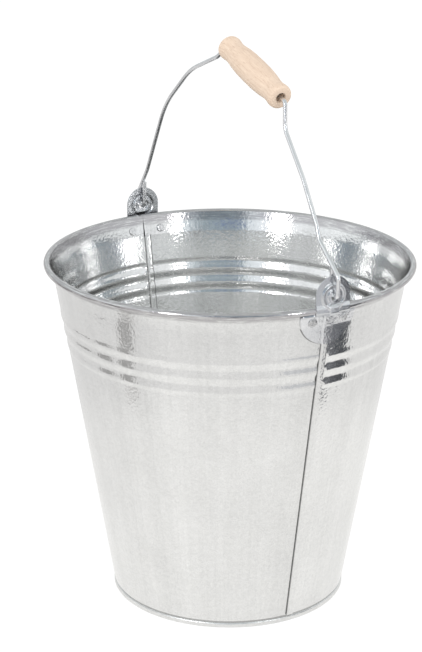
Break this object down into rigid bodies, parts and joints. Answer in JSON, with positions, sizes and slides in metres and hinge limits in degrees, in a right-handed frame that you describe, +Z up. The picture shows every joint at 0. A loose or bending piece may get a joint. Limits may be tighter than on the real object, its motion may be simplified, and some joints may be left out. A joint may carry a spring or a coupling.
{
  "type": "feed bucket",
  "caption": "Tapered galvanised sheet bucket with pressed beads, rolled wired rim, riveted ears, a swinging wire bail and a loose turned wooden grip.",
  "frame": {"origin": "the floor, at the middle of the foot ring", "axes": "+Z up, towards the mouth; +X through the right ear and along the bail's hinge axis; +Y away from the front panel"},
  "size_m": [0.3186, 0.3058, 0.4689],
  "materials": {
    "galvanised_sheet": "bright hot-dip galvanised sheet with faint spangle and fine scratches",
    "pressed_steel": "pressed and galvanised, slightly duller than the sheet",
    "wire_steel": "galvanised drawn wire",
    "rivet_steel": "hammered steel rivet",
    "turned_wood": "turned pale beech, unvarnished"
  },
  "bodies": {
    "bucket": {"body_panel_front": "galvanised_sheet", "body_panel_rear": "galvanised_sheet", "bottom_disc": "galvanised_sheet", "rim_wire": "wire_steel", "ear_right": "pressed_steel", "ear_left": "pressed_steel", "rivet_right_front": "rivet_steel", "rivet_right_rear": "rivet_steel", "rivet_left_front": "rivet_steel", "rivet_left_rear": "rivet_steel"},
    "bail": {"bail_wire": "wire_steel"},
    "grip": {"wooden_grip": "turned_wood"}
  },
  "joints": [
    {"name": "bail_swing", "type": "hinge", "parent": "bucket", "child": "bail", "pos_m": [0, 0, 0.297], "axis": [1, 0, 0], "range_deg": [-86, 90]},
    {"name": "grip_spin", "type": "hinge", "parent": "bail", "child": "grip", "pos_m": [0.0262, 0.00522, 0.44651], "axis": [0.9483, -0.0111, -0.3171], "continuous": true}
  ]
}
